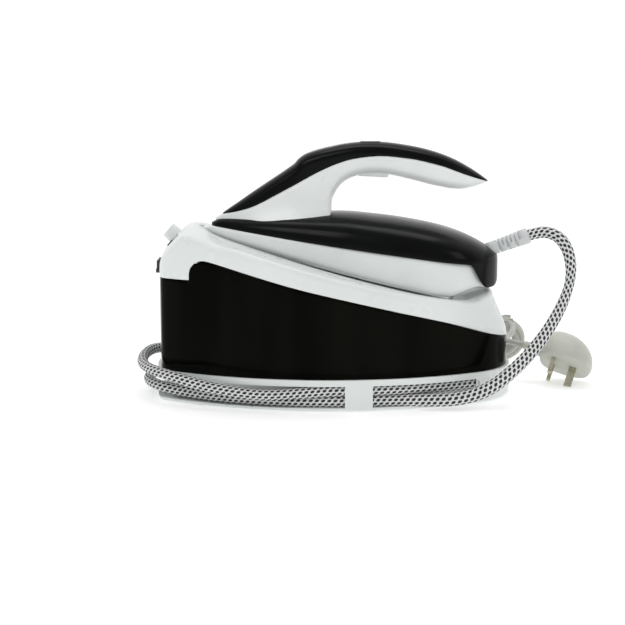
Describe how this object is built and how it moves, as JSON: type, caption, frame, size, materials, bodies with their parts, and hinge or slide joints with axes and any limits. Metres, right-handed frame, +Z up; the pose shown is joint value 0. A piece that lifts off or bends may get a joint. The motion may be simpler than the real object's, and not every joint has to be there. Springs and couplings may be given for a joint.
{
  "type": "steam generator iron",
  "caption": "Steam generator iron: smoked tank station with boiler, hose groove and sloping rest, and a lift-off steam iron on a braided hose with a mains lead and plug.",
  "frame": {"origin": "on the floor, below the middle of the station", "axes": "+X from the nose with the control panel towards the iron's heel and the hose, +Y to the far side, +Z up"},
  "size_m": [0.4851, 0.314, 0.2679],
  "materials": {
    "white_gloss": "smooth gloss white moulding",
    "cool_white": "smooth gloss off-white moulding",
    "smoked": "smoked, nearly black, glossy transparent plastic",
    "clear_tank": "translucent water vessel",
    "black_gloss": "deep black high gloss moulding",
    "dark_trim": "dark grey satin plastic",
    "rubber_dark": "matt rubber",
    "silicone_grey": "grey silicone",
    "steel": "zinc plated steel",
    "stainless": "drawn stainless steel",
    "sole_metal": "polished soleplate",
    "cast_alloy": "rough cast aluminium",
    "pcb_green": "green circuit board",
    "pump_body": "moulded pump housing",
    "silicone_tube": "translucent silicone tube",
    "hose_braid": "white woven sleeve with small black lozenges",
    "lead_grey": "pale grey PVC lead",
    "plug_white": "off-white moulded plug",
    "pin_brass": "nickel-dulled brass pins"
  },
  "bodies": {
    "station": {"base_plinth": "white_gloss", "rubber_feet": "rubber_dark", "base_screws": "steel", "hose_clip": "white_gloss", "hose_inlet": "dark_trim", "mains_gland": "cool_white", "tank_shell": "smoked", "water_tank": "clear_tank", "top_cover": "white_gloss", "rest_pads": "silicone_grey", "control_panel": "cool_white", "control_pcb": "pcb_green", "flap_ears": "dark_trim", "boiler": "stainless", "boiler_heater": "cast_alloy", "boiler_band": "steel", "pump": "pump_body", "solenoid_valve": "pump_body", "feed_pipe": "silicone_tube", "steam_pipe": "silicone_tube", "hose_wound": "hose_braid", "mains_tail": "lead_grey", "mains_hank": "lead_grey", "mains_lead": "lead_grey", "hank_tie": "plug_white", "plug_body": "plug_white", "plug_fuse_cover": "plug_white", "plug_pins": "pin_brass"},
    "iron": {"soleplate": "sole_metal", "steam_chamber": "cast_alloy", "thermostat": "steel", "iron_skirt": "white_gloss", "iron_shell": "black_gloss", "handle_lower": "white_gloss", "handle_top": "black_gloss", "hose_boot": "cool_white", "hose_loop": "hose_braid"},
    "steam_knob": {"steam_knob": "white_gloss"},
    "power_button": {"power_button": "dark_trim"},
    "mode_button": {"mode_button": "dark_trim"},
    "filler_flap": {"filler_flap": "dark_trim"},
    "steam_trigger": {"steam_trigger": "white_gloss"},
    "steam_button": {"steam_button": "black_gloss"}
  },
  "joints": [
    {"name": "iron_lift", "type": "slide", "parent": "station", "child": "iron", "axis": [0, 0, 1], "range_m": [0, 0.12]},
    {"name": "steam_knob_turn", "type": "hinge", "parent": "station", "child": "steam_knob", "pos_m": [-0.16637, 0, 0.16602], "axis": [-0.7546, 0, 0.6562], "range_deg": [-135, 135]},
    {"name": "power_button_press", "type": "slide", "parent": "station", "child": "power_button", "axis": [0.7546, 0, -0.6562], "range_m": [0, 0.0012], "stiffness_N_per_m": 700, "springref_m": -0.001},
    {"name": "mode_button_press", "type": "slide", "parent": "station", "child": "mode_button", "axis": [0.7546, 0, -0.6562], "range_m": [0, 0.0012], "stiffness_N_per_m": 700, "springref_m": -0.001},
    {"name": "filler_flap_open", "type": "hinge", "parent": "station", "child": "filler_flap", "pos_m": [-0.185, 0, 0.1324], "axis": [0, -1, 0], "range_deg": [0, 85]},
    {"name": "steam_trigger_squeeze", "type": "slide", "parent": "iron", "child": "steam_trigger", "axis": [0.0499, 0, 0.9988], "range_m": [0, 0.003], "stiffness_N_per_m": 500, "springref_m": -0.001},
    {"name": "steam_button_press", "type": "slide", "parent": "iron", "child": "steam_button", "axis": [0, 0, -1], "range_m": [0, 0.0012], "stiffness_N_per_m": 700, "springref_m": -0.001}
  ]
}
